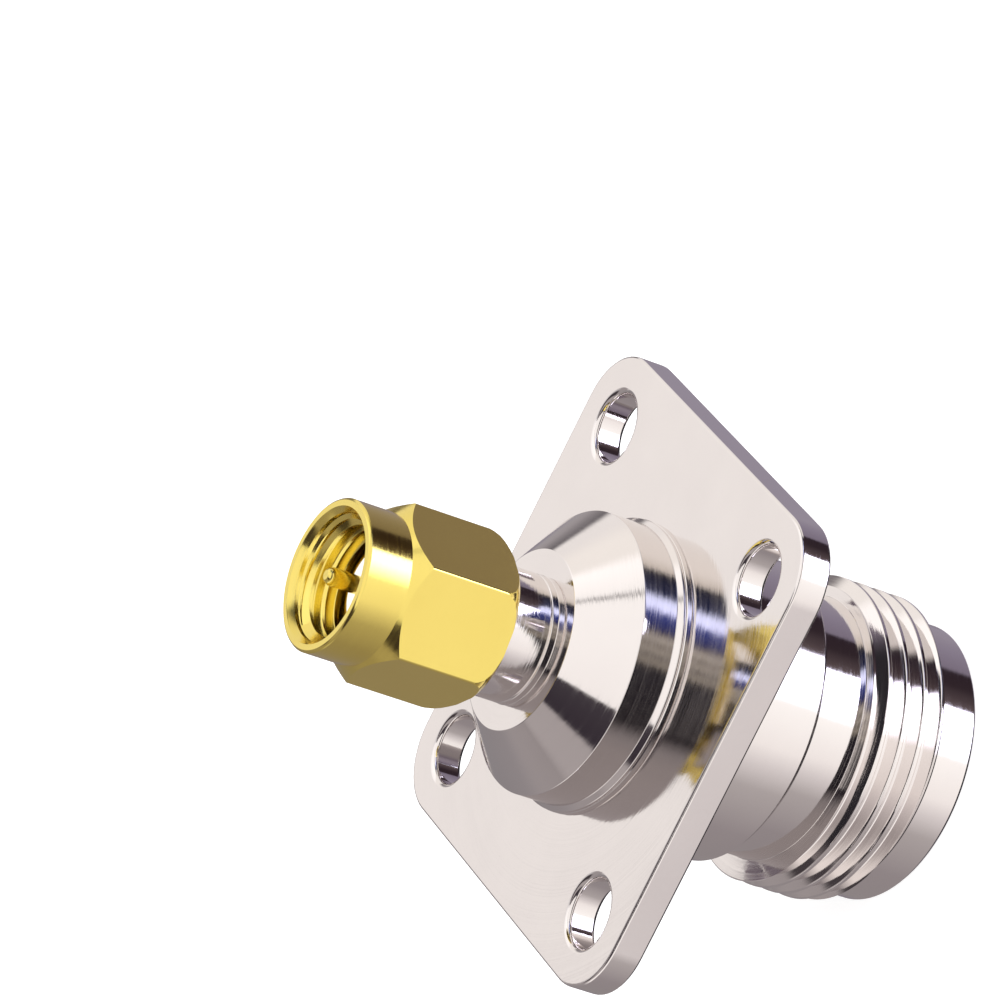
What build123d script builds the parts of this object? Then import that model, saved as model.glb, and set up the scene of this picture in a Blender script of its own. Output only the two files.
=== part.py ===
"""Coaxial adapter with a square panel flange: a threaded socket on one side, a coupling nut on the other.

The origin is the centre of the flange's front face. +Z is the common axis and
points to the coupling nut. The socket side points down, and the part stands on its nose.
"""
import os
from math import cos, radians

from build123d import *

# Flange: a square plate with four screw holes
flange_side = 25.4
flange_thick = 1.7
flange_corner_r = 3.3
flange_edge = 0.2
hole_margin = 3.57
hole_r = 1.75
hole_edge = 0.28

# Socket side, from the flange's back face down to the nose
barrel_r = 7.63
barrel_len = 6.45
barrel_edge = 0.3
relief_r = 6.75
relief_len = 2.8
thread_r = 7.87
thread_len = 3.7675
thread_grooves = 3
thread_pitch = 25.4 / 24
thread_depth = 0.6
thread_crest = 0.2
thread_root = 0.13
first_groove = 1.14
lead_in_len = 0.66
nose_step = 0.81
nose_len = 2.05
nose_edge = 0.2

# Socket bore, from the nose inwards
mouth_r = 4.55
mouth_depth = 3.85
mouth_edge = 0.25
socket_bore_r = 4.05
line_bore_r = 3.5
line_bore_len = 1.53

# Boss on the flange's front face, on which the rear shell's rim seats
boss_r = 7.42
boss_len = 0.15
boss_edge = 0.04

# Rear shell: spigot, rim with a sloped top, drum, cone, shoulder and neck
spigot_r = 5.2
spigot_len = 3.2
rim_step = 0.02
rim_len = 0.17
rim_edge = 0.04
rim_slope_len = 0.22
drum_r = 7.15
drum_len = 1.86
cone_tip_r = 4.56
cone_len = 2.3
neck_r = 3.26
neck_len = 2.6
neck_line_height = 0.4
neck_line_depth = 0.1
neck_line_width = 0.12

# Outer contact ferrule of the plug
ferrule_bore_r = 2.07
ferrule_body_wall = 0.55
ferrule_tip_wall = 0.21
ferrule_tail_len = 3.0
ferrule_body_len = 3.1
ferrule_tip_len = 3.0
ferrule_edge = 0.08

# Coupling nut
nut_across_flats = 8.0
nut_turn = 10.7
nut_gap = 0.2
nut_hex_len = 6.0
nut_rear_step = 0.05
nut_collar_len = 2.4
nut_collar_wall = 0.65
nut_collar_edge = 0.12
nut_thread_r = 2.82
nut_counterbore_step = 0.38
nut_counterbore_len = 0.9
nut_mouth_edge = 0.22
nut_lip_drop = 0.2

# Snap ring, its two grooves and the gasket
snap_ring_thick = 0.5
snap_ring_drop = 1.45
snap_ring_bite = 0.34
snap_ring_reach = 0.36
snap_ring_opening = 40
groove_gap = 0.03
groove_play = 0.02
nut_groove_gap = 0.1
nut_groove_play = 0.12
gasket_len = 0.8
gasket_wall = 0.5
gasket_edge = 0.1
gasket_play = 0.1
gasket_gap = 0.2

# Inner conductor, its contact and the two insulators
pin_r = 0.46
pin_tip_edge = 0.16
pin_recess = 0.1
shank_r = 0.64
tail_r = 0.45
tail_len = 2.3
contact_r = 1.52
contact_tip_depth = 4.05
contact_hole_r = 0.85
contact_hole_depth = 4.2
contact_hole_edge = 0.2
contact_slots = 4
contact_slot_width = 0.32
contact_slot_depth = 3.6
contact_head_r = 1.95
contact_head_len = 2.4
bead_r = 4.3
bead_len = 3.6

# Clearances
seat_gap = 0.02
running_gap = 0.08
tail_gap = 0.02

# Radii that follow from the sizes and the clearances
nose_r = thread_r - nose_step
groove_half_mouth = (thread_pitch - thread_crest) / 2
rim_r = boss_r - rim_step
ferrule_body_r = ferrule_bore_r + ferrule_body_wall
ferrule_tip_r = ferrule_bore_r + ferrule_tip_wall
snap_ring_inner_r = ferrule_body_r - snap_ring_bite
snap_ring_outer_r = ferrule_body_r + snap_ring_reach
groove_floor_r = snap_ring_inner_r - groove_gap
gasket_outer_r = ferrule_tip_r + seat_gap + gasket_wall
nut_flat_r = nut_across_flats / 2
nut_corner_r = nut_flat_r / cos(radians(30))
nut_lip_r = ferrule_body_r + running_gap
nut_cavity_r = gasket_outer_r + gasket_gap
nut_groove_r = snap_ring_outer_r + nut_groove_gap
nut_counterbore_r = nut_thread_r + nut_counterbore_step
nut_mouth_r = nut_counterbore_r + nut_mouth_edge
nut_collar_r = nut_counterbore_r + nut_collar_wall
nut_rear_edge_r = nut_flat_r + nut_rear_step
hole_spacing = flange_side - 2 * hole_margin

# Heights along the axis
z_back = -flange_thick
z_barrel = z_back - barrel_len
z_relief = z_barrel - relief_len
z_thread = z_relief - thread_len
z_lead_in = z_thread - lead_in_len
z_nose = z_lead_in - nose_len
z_contact_tip = z_nose + contact_tip_depth
z_spigot = -spigot_len
z_bead = z_spigot - bead_len
z_socket = z_bead - line_bore_len
z_rim = boss_len + rim_len
z_drum_foot = z_rim + rim_slope_len
z_drum = z_drum_foot + drum_len
z_shoulder = z_drum + cone_len
z_neck = z_shoulder + neck_len
z_ferrule_foot = z_neck - ferrule_tail_len
z_ferrule_seat = z_neck + ferrule_body_len
z_plug_face = z_ferrule_seat + ferrule_tip_len
z_nut_rear = z_neck + nut_gap
z_nut_hex = z_nut_rear + nut_hex_len
z_nut_front = z_nut_hex + nut_collar_len
z_nut_thread_top = z_nut_front - nut_counterbore_len
z_nut_thread_foot = z_ferrule_seat + gasket_len + gasket_play
z_nut_lip = z_ferrule_seat - nut_lip_drop
z_pin_tip = z_nut_front
z_snap_ring = z_ferrule_seat - snap_ring_drop


def half_section(*points):
    """A closed outline in the XZ plane, each point given as radius and height."""
    with BuildSketch(Plane.XZ) as section:
        with BuildLine():
            Polyline(*points, close=True)
        make_face()
    return section.sketch


# Flange shell: plate, boss, barrel, relief, thread with its turns as plain grooves, and nose, as one piece
with BuildPart() as flange_shell:
    with BuildSketch(Plane.XY.offset(z_back)):
        RectangleRounded(flange_side, flange_side, flange_corner_r)
    extrude(amount=flange_thick)
    plate_rims = flange_shell.faces().filter_by(Axis.Z).edges()
    chamfer(plate_rims, flange_edge)
    with BuildSketch(Plane.XZ):
        with BuildLine():
            Polyline(
                (0, boss_len),
                (boss_r - boss_edge, boss_len),
                (boss_r, boss_len - boss_edge),
                (boss_r, z_back),
                (barrel_r, z_back),
                (barrel_r, z_barrel + barrel_edge),
                (barrel_r - barrel_edge, z_barrel),
                (relief_r, z_barrel),
                (relief_r, z_relief),
                (thread_r, z_relief),
                (thread_r, z_thread),
                (nose_r, z_lead_in),
                (nose_r, z_nose + nose_edge),
                (nose_r - nose_edge, z_nose),
                (0, z_nose),
                close=True,
            )
        make_face()
    revolve(axis=Axis.Z)
    with BuildSketch(Plane.XZ):
        with BuildLine():
            Polyline(
                (0, z_nose),
                (mouth_r + mouth_edge, z_nose),
                (mouth_r, z_nose + mouth_edge),
                (mouth_r, z_nose + mouth_depth),
                (socket_bore_r, z_nose + mouth_depth),
                (socket_bore_r, z_socket),
                (line_bore_r, z_socket),
                (line_bore_r, z_bead),
                (bead_r + seat_gap, z_bead),
                (bead_r + seat_gap, z_spigot),
                (spigot_r + seat_gap, z_spigot),
                (spigot_r + seat_gap, boss_len),
                (0, boss_len),
                close=True,
            )
        make_face()
    revolve(axis=Axis.Z, mode=Mode.SUBTRACT)
    for turn in range(thread_grooves):
        z_groove = z_relief - first_groove - turn * thread_pitch
        groove_section = half_section(
            (thread_r, z_groove + groove_half_mouth),
            (thread_r - thread_depth, z_groove + thread_root / 2),
            (thread_r - thread_depth, z_groove - thread_root / 2),
            (thread_r, z_groove - groove_half_mouth),
        )
        revolve(groove_section, axis=Axis.Z, mode=Mode.SUBTRACT)
    with GridLocations(hole_spacing, hole_spacing, 2, 2):
        Hole(radius=hole_r)
    chamfer(flange_shell.edges(Select.LAST).filter_by(GeomType.CIRCLE), hole_edge)
flange_shell.part.label = "flange_shell"

# Rear shell: spigot, rim, drum, cone, flat shoulder and neck, bored right through
with BuildPart() as rear_shell:
    with BuildSketch(Plane.XZ):
        with BuildLine():
            Polyline(
                (ferrule_bore_r, z_spigot),
                (spigot_r, z_spigot),
                (spigot_r, boss_len),
                (rim_r - rim_edge, boss_len),
                (rim_r, boss_len + rim_edge),
                (rim_r, z_rim),
                (drum_r, z_drum_foot),
                (drum_r, z_drum),
                (cone_tip_r, z_shoulder),
                (neck_r, z_shoulder),
                (neck_r, z_neck),
                (ferrule_body_r + seat_gap, z_neck),
                (ferrule_body_r + seat_gap, z_ferrule_foot),
                (ferrule_bore_r, z_ferrule_foot),
                close=True,
            )
        make_face()
    revolve(axis=Axis.Z)
    z_line = z_shoulder + neck_line_height
    line_groove = half_section(
        (neck_r - neck_line_depth, z_line),
        (neck_r + neck_line_depth, z_line + neck_line_width),
        (neck_r + neck_line_depth, z_line - neck_line_width),
    )
    revolve(line_groove, axis=Axis.Z, mode=Mode.SUBTRACT)
rear_shell.part.label = "rear_shell"

# Ferrule: tail pressed into the neck, body with the snap ring's groove, and thin tip
with BuildPart() as sma_ferrule:
    with BuildSketch(Plane.XZ):
        with BuildLine():
            Polyline(
                (ferrule_bore_r, z_ferrule_foot),
                (ferrule_body_r, z_ferrule_foot),
                (ferrule_body_r, z_ferrule_seat),
                (ferrule_tip_r, z_ferrule_seat),
                (ferrule_tip_r, z_plug_face - ferrule_edge),
                (ferrule_tip_r - ferrule_edge, z_plug_face),
                (ferrule_bore_r, z_plug_face),
                close=True,
            )
        make_face()
    revolve(axis=Axis.Z)
    groove = half_section(
        (groove_floor_r, z_snap_ring - groove_play),
        (ferrule_body_r + running_gap, z_snap_ring - groove_play),
        (ferrule_body_r + running_gap, z_snap_ring + snap_ring_thick + groove_play),
        (groove_floor_r, z_snap_ring + snap_ring_thick + groove_play),
    )
    revolve(groove, axis=Axis.Z, mode=Mode.SUBTRACT)
sma_ferrule.part.label = "sma_ferrule"

# Coupling nut: hexagon cut back by turned cones, round collar, and a stepped bore with an inner groove
with BuildPart() as coupling_nut:
    with BuildSketch(Plane.XY.offset(z_nut_rear)):
        RegularPolygon(nut_flat_r, 6, major_radius=False, rotation=nut_turn)
    extrude(amount=nut_hex_len)
    with BuildSketch(Plane.XZ):
        with BuildLine():
            Polyline(
                (0, z_nut_rear),
                (nut_rear_edge_r, z_nut_rear),
                (nut_corner_r, z_nut_rear + nut_corner_r - nut_rear_edge_r),
                (nut_corner_r, z_nut_hex - nut_corner_r + nut_collar_r),
                (nut_collar_r, z_nut_hex),
                (0, z_nut_hex),
                close=True,
            )
        make_face()
    revolve(axis=Axis.Z, mode=Mode.INTERSECT)
    with BuildSketch(Plane.XY.offset(z_nut_hex)):
        Circle(nut_collar_r)
    extrude(amount=nut_collar_len)
    chamfer(coupling_nut.edges().sort_by(Axis.Z)[-1], nut_collar_edge)
    with BuildSketch(Plane.XZ):
        with BuildLine():
            Polyline(
                (0, z_nut_front),
                (nut_mouth_r, z_nut_front),
                (nut_counterbore_r, z_nut_front - nut_mouth_edge),
                (nut_counterbore_r, z_nut_thread_top + nut_counterbore_step),
                (nut_thread_r, z_nut_thread_top),
                (nut_thread_r, z_nut_thread_foot),
                (nut_cavity_r, z_nut_thread_foot),
                (nut_cavity_r, z_nut_lip),
                (nut_lip_r, z_nut_lip),
                (nut_lip_r, z_nut_rear),
                (0, z_nut_rear),
                close=True,
            )
        make_face()
    revolve(axis=Axis.Z, mode=Mode.SUBTRACT)
    inner_groove = half_section(
        (ferrule_body_r, z_snap_ring - nut_groove_play),
        (nut_groove_r, z_snap_ring - nut_groove_play),
        (nut_groove_r, z_snap_ring + snap_ring_thick + nut_groove_play),
        (ferrule_body_r, z_snap_ring + snap_ring_thick + nut_groove_play),
    )
    revolve(inner_groove, axis=Axis.Z, mode=Mode.SUBTRACT)
coupling_nut.part.label = "coupling_nut"

# Snap ring: an open ring, half in the ferrule's groove and half in the nut's
with BuildPart() as snap_ring:
    ring_section = half_section(
        (snap_ring_inner_r, z_snap_ring),
        (snap_ring_outer_r, z_snap_ring),
        (snap_ring_outer_r, z_snap_ring + snap_ring_thick),
        (snap_ring_inner_r, z_snap_ring + snap_ring_thick),
    )
    revolve(ring_section, axis=Axis.Z, revolution_arc=360 - snap_ring_opening)
snap_ring.part.label = "snap_ring"

# Gasket: soft ring round the ferrule's tip, on its seat
with BuildPart() as sma_gasket:
    with BuildSketch(Plane.XY.offset(z_ferrule_seat)):
        Circle(gasket_outer_r)
        Circle(ferrule_tip_r + seat_gap, mode=Mode.SUBTRACT)
    extrude(amount=gasket_len)
    chamfer(sma_gasket.edges().group_by(Axis.Z)[-1], gasket_edge)
sma_gasket.part.label = "sma_gasket"

# Insulator of the plug: a sleeve round the inner conductor, flush with the ferrule's face
with BuildPart() as sma_insulator:
    with BuildSketch(Plane.XY.offset(z_spigot)):
        Circle(ferrule_bore_r - seat_gap)
        Circle(shank_r + seat_gap, mode=Mode.SUBTRACT)
    extrude(amount=z_plug_face - z_spigot)
sma_insulator.part.label = "sma_insulator"

# Insulator of the socket: a bead held between the flange shell and the spigot, with a boss in front
with BuildPart() as socket_insulator:
    with BuildSketch(Plane.XZ):
        with BuildLine():
            Polyline(
                (contact_r + seat_gap, z_socket),
                (line_bore_r - seat_gap, z_socket),
                (line_bore_r - seat_gap, z_bead),
                (bead_r, z_bead),
                (bead_r, z_spigot),
                (contact_head_r + seat_gap, z_spigot),
                (contact_head_r + seat_gap, z_spigot - contact_head_len),
                (contact_r + seat_gap, z_spigot - contact_head_len),
                close=True,
            )
        make_face()
    revolve(axis=Axis.Z)
socket_insulator.part.label = "socket_insulator"

# Inner conductor: front pin with a tapered tip, shank, and a tail that plugs into the contact
with BuildPart() as sma_pin:
    with BuildSketch(Plane.XZ):
        with BuildLine():
            Polyline(
                (0, z_spigot - tail_len),
                (tail_r, z_spigot - tail_len),
                (tail_r, z_spigot),
                (shank_r, z_spigot),
                (shank_r, z_plug_face - pin_recess),
                (pin_r, z_plug_face - pin_recess),
                (pin_r, z_pin_tip - 2 * pin_tip_edge),
                (pin_r - pin_tip_edge, z_pin_tip),
                (0, z_pin_tip),
                close=True,
            )
        make_face()
    revolve(axis=Axis.Z)
sma_pin.part.label = "sma_pin"

# Socket contact: a slotted tube with a head that the insulator holds, drilled for the conductor's tail
with BuildPart() as socket_contact:
    with BuildSketch(Plane.XZ):
        with BuildLine():
            Polyline(
                (0, z_contact_tip),
                (contact_r, z_contact_tip),
                (contact_r, z_spigot - contact_head_len),
                (contact_head_r, z_spigot - contact_head_len),
                (contact_head_r, z_spigot),
                (0, z_spigot),
                close=True,
            )
        make_face()
    revolve(axis=Axis.Z)
    with BuildSketch(Plane.XZ):
        with BuildLine():
            Polyline(
                (0, z_contact_tip),
                (contact_hole_r + contact_hole_edge, z_contact_tip),
                (contact_hole_r, z_contact_tip + contact_hole_edge),
                (contact_hole_r, z_contact_tip + contact_hole_depth),
                (0, z_contact_tip + contact_hole_depth),
                close=True,
            )
        make_face()
    revolve(axis=Axis.Z, mode=Mode.SUBTRACT)
    with BuildSketch(Plane.XY.offset(z_spigot)):
        Circle(tail_r + tail_gap)
    extrude(amount=-tail_len, mode=Mode.SUBTRACT)
    with BuildSketch(Plane.XY.offset(z_contact_tip)):
        with PolarLocations(0, contact_slots // 2, angular_range=180):
            Rectangle(2 * contact_head_r, contact_slot_width)
    extrude(amount=contact_slot_depth, mode=Mode.SUBTRACT)
socket_contact.part.label = "socket_contact"

os.makedirs("parts", exist_ok=True)
pieces = (
    flange_shell,
    rear_shell,
    sma_ferrule,
    coupling_nut,
    snap_ring,
    sma_gasket,
    sma_insulator,
    socket_insulator,
    sma_pin,
    socket_contact,
)
for piece in pieces:
    export_step(piece.part, f"parts/{piece.part.label}.step")
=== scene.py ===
"""Looks of a coaxial adapter: bright nickel bodies, a satin gold coupling nut and white insulators.

Sizes are in millimetres, as on a workshop drawing. Each finished piece is brought to metres and keeps
its place in its mesh. The common axis is Z, and the coupling nut is at the upper end.
"""
import logging
from dataclasses import dataclass
from enum import Enum
from itertools import pairwise
from math import cos, pi, radians, sin, tau
from typing import Callable, Sequence

import bmesh
import bpy
from mathutils import Matrix, Vector


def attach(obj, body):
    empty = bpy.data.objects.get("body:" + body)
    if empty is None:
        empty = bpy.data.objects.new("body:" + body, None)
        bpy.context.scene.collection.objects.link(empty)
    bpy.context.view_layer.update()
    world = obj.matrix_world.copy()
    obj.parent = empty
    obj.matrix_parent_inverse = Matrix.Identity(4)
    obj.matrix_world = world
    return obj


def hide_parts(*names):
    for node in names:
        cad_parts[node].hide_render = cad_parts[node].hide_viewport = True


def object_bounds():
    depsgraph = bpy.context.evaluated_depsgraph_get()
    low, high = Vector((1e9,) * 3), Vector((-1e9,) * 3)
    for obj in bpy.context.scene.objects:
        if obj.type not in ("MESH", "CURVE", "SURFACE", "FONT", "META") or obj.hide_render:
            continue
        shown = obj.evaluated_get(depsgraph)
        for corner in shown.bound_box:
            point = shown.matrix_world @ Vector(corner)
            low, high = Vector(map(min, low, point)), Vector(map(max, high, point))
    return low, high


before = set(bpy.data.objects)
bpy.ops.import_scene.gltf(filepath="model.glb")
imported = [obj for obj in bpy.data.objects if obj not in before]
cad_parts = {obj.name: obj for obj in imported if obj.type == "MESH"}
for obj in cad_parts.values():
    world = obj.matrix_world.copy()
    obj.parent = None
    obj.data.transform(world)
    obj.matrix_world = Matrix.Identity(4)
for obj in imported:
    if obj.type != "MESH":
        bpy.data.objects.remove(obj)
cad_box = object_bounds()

logging.basicConfig(level=logging.INFO, format="%(message)s")
log = logging.getLogger("adapter")

MM = 0.001  # a millimetre, in metres
CLOSE = 1e-4  # millimetres within which two points are one
SIDES = 192  # facets round a large piece
SLIM_SIDES = 96  # facets round a slim piece
PIN_SIDES = 64  # facets round a pin or its hole
Point = tuple[float, float]
Colour = tuple[float, float, float]
Piece = bpy.types.Object
Socket = bpy.types.NodeSocket
Material = bpy.types.Material
EdgeTest = Callable[[Vector, Vector], bool]


def runs_up(a: Vector, b: Vector) -> bool:
    """Tells whether an edge climbs along the axis."""
    return abs(a.z - b.z) > CLOSE


def runs_level(a: Vector, b: Vector) -> bool:
    """Tells whether an edge lies level."""
    return not runs_up(a, b)


class Join(Enum):
    """How one solid acts on another."""

    ADD = "UNION"
    CUT = "DIFFERENCE"
    KEEP_COMMON = "INTERSECT"


class Bench:
    """The hand operations that all the pieces are made with."""

    @staticmethod
    def clear_selection() -> None:
        """Leaves nothing selected, so that an operator acts only on what comes next."""
        bpy.ops.object.select_all(action="DESELECT")

    @staticmethod
    def take(piece: Piece) -> None:
        """Makes a piece the only selected one, and the active one.

        Args:
            piece: the piece to take up.
        """
        Bench.clear_selection()
        piece.select_set(True)
        bpy.context.view_layer.objects.active = piece

    @staticmethod
    def merge_close() -> None:
        """Merges, in edit mode, the points that lie on one another, and leaves everything selected."""
        bpy.ops.mesh.select_all(action="SELECT")
        bpy.ops.mesh.remove_doubles(threshold=CLOSE)

    @staticmethod
    def copy(piece: Piece, place: tuple[float, float, float]) -> Piece:
        """Copies a piece, with a mesh of its own.

        Args:
            piece: the piece to copy.
            place: where the copy goes.

        Returns:
            The copy.
        """
        twin = piece.copy()
        twin.data = piece.data.copy()
        twin.location = place
        bpy.context.scene.collection.objects.link(twin)
        return twin

    @staticmethod
    def turn(name: str, outline: Sequence[Point], ring: bool = False, sides: int = SIDES) -> Piece:
        """Turns an outline round the axis, extruding and widening one circle from step to step.

        Args:
            name: the new piece's name.
            outline: radius and height of each step.
            ring: whether the outline closes on itself round a bore, instead of ending in two flat caps.
            sides: facets round the axis.

        Returns:
            The turned piece, a closed shell.
        """
        steps = [*outline, outline[0]] if ring else list(outline)
        radius, height = steps[0]
        Bench.clear_selection()
        fill = "NOTHING" if ring else "NGON"
        bpy.ops.mesh.primitive_circle_add(
            vertices=sides, radius=radius, fill_type=fill, location=(0, 0, height)
        )
        piece = bpy.context.object
        piece.name = name
        bpy.ops.object.transform_apply()
        bpy.ops.object.mode_set(mode="EDIT")
        bpy.ops.mesh.select_mode(type="EDGE")
        bpy.ops.mesh.select_all(action="SELECT" if ring else "DESELECT")
        if not ring:
            Bench.pick_edges(piece, lambda a, b: True)
        for (r_from, z_from), (r_to, z_to) in pairwise(steps):
            bpy.ops.mesh.extrude_edges_move(TRANSFORM_OT_translate={"value": (0, 0, z_to - z_from)})
            share = r_to / r_from
            bpy.ops.transform.resize(value=(share, share, 1), center_override=(0, 0, z_to))
        if not ring:
            bpy.ops.mesh.edge_face_add()
        Bench.merge_close()
        bpy.ops.mesh.normals_make_consistent(inside=False)
        bpy.ops.object.mode_set(mode="OBJECT")
        return piece

    @staticmethod
    def pick_edges(piece: Piece, wanted: EdgeTest) -> int:
        """Selects, in edit mode, the edges whose two ends pass a test.

        Args:
            piece: the piece being edited.
            wanted: takes the edge's two ends.

        Returns:
            How many edges are selected.
        """
        mesh = bmesh.from_edit_mesh(piece.data)
        for edge in mesh.edges:
            edge.select_set(wanted(edge.verts[0].co, edge.verts[1].co))
        mesh.select_flush(False)
        bmesh.update_edit_mesh(piece.data)
        return sum(edge.select for edge in mesh.edges)

    @staticmethod
    def bevel_picked(piece: Piece, wanted: EdgeTest, width: float, segments: int) -> None:
        """Rounds the edges that pass a test.

        Args:
            piece: the piece to round.
            wanted: takes the edge's two ends.
            width: how far the rounding reaches from the edge.
            segments: strips across the rounding.
        """
        Bench.take(piece)
        bpy.ops.object.mode_set(mode="EDIT")
        bpy.ops.mesh.select_mode(type="EDGE")
        bpy.ops.mesh.select_all(action="DESELECT")
        if Bench.pick_edges(piece, wanted):
            bpy.ops.mesh.bevel(offset=width, segments=segments, affect="EDGES", clamp_overlap=True)
        bpy.ops.object.mode_set(mode="OBJECT")

    @staticmethod
    def soften(piece: Piece, width: float, segments: int = 2, angle: float = 28) -> None:
        """Breaks every edge sharper than an angle with a fine rounding.

        Args:
            piece: the piece to soften.
            width: reach of the rounding.
            segments: strips across it.
            angle: the least turn between two faces, in degrees, that is rounded.
        """
        Bench.take(piece)
        rounding = piece.modifiers.new("edge", "BEVEL")
        rounding.width = width
        rounding.segments = segments
        rounding.limit_method = "ANGLE"
        rounding.angle_limit = radians(angle)
        rounding.harden_normals = False
        bpy.ops.object.modifier_apply(modifier=rounding.name)

    @staticmethod
    def join(body: Piece, tool: Piece, how: Join) -> None:
        """Adds, cuts or intersects a piece with a tool, and removes the tool.

        Args:
            body: the piece that stays.
            tool: the solid that acts on it.
            how: what the tool does.
        """
        Bench.take(body)
        step = body.modifiers.new("step", "BOOLEAN")
        step.operation = how.value
        step.solver = "EXACT"
        step.object = tool
        bpy.ops.object.modifier_apply(modifier=step.name)
        bpy.data.objects.remove(tool)

    @staticmethod
    def wire(name: str, points: Sequence[Point]) -> Piece:
        """Draws a closed section as a chain of edges, vertex by vertex.

        Args:
            name: the section's name.
            points: radius and height of each corner.

        Returns:
            The section, standing in the XZ plane.
        """
        radius, height = points[0]
        Bench.clear_selection()
        bpy.ops.mesh.primitive_plane_add(size=0.01, location=(radius, 0, height))
        section = bpy.context.object
        section.name = name
        bpy.ops.object.transform_apply()
        bpy.ops.object.mode_set(mode="EDIT")
        bpy.ops.mesh.select_mode(type="VERT")
        bpy.ops.mesh.select_all(action="SELECT")
        bpy.ops.mesh.merge(type="CENTER")
        for (r_from, z_from), (r_to, z_to) in pairwise([*points, points[0]]):
            bpy.ops.mesh.extrude_vertices_move(
                TRANSFORM_OT_translate={"value": (r_to - r_from, 0, z_to - z_from)}
            )
        Bench.merge_close()
        bpy.ops.object.mode_set(mode="OBJECT")
        return section

    @staticmethod
    def helix(
        name: str, section: Sequence[Point], pitch: float, turns: float, sides: int = SIDES
    ) -> Piece:
        """Winds a closed section round the axis, as a thread tool travels.

        Args:
            name: the tool's name.
            section: the tooth's corners, at the thread's lower end.
            pitch: rise in one turn.
            turns: how many turns it makes, upwards.
            sides: facets in one turn.

        Returns:
            A closed helical solid with a right-hand lead.
        """
        tool = Bench.wire(name, section)
        Bench.take(tool)
        winding = tool.modifiers.new("winding", "SCREW")
        winding.axis = "Z"
        winding.angle = tau * turns
        winding.screw_offset = pitch * turns
        winding.steps = winding.render_steps = round(sides * turns)
        winding.use_merge_vertices = False
        bpy.ops.object.modifier_apply(modifier=winding.name)
        bpy.ops.object.mode_set(mode="EDIT")
        bpy.ops.mesh.select_mode(type="EDGE")
        bpy.ops.mesh.select_all(action="SELECT")
        bpy.ops.mesh.fill_holes(sides=0)
        bpy.ops.mesh.select_all(action="SELECT")
        bpy.ops.mesh.normals_make_consistent(inside=False)
        bpy.ops.object.mode_set(mode="OBJECT")
        return tool

    @staticmethod
    def smooth(piece: Piece, angle: float = 32) -> None:
        """Closes slivers and shades a piece smooth, with sharp edges kept and broad faces true.

        Args:
            piece: the piece to shade.
            angle: the least turn between two faces, in degrees, that stays sharp.
        """
        Bench.take(piece)
        bpy.ops.object.mode_set(mode="EDIT")
        Bench.merge_close()
        bpy.ops.object.mode_set(mode="OBJECT")
        bpy.ops.object.shade_smooth_by_angle(angle=radians(angle))
        even = piece.modifiers.new("even shading", "WEIGHTED_NORMAL")
        even.keep_sharp = True
        bpy.ops.object.modifier_apply(modifier=even.name)

    @staticmethod
    def settle(piece: Piece, finish: Material, body: str, slot: str, *nodes: str) -> None:
        """Shades a finished piece, brings it to metres, gives it its finish and sets it on its body.

        Args:
            piece: the finished piece, in millimetres.
            finish: its material.
            body: the moving body that it rides on.
            slot: the record's material slot; not used.
            nodes: the plain solids that it stands for.
        """
        Bench.smooth(piece)
        piece.scale = (MM, MM, MM)
        bpy.ops.object.transform_apply()
        piece.data.materials.clear()
        piece.data.materials.append(finish)
        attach(piece, body)
        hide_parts(*nodes)
        log.info("%s: %d faces", piece.name, len(piece.data.polygons))


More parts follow.
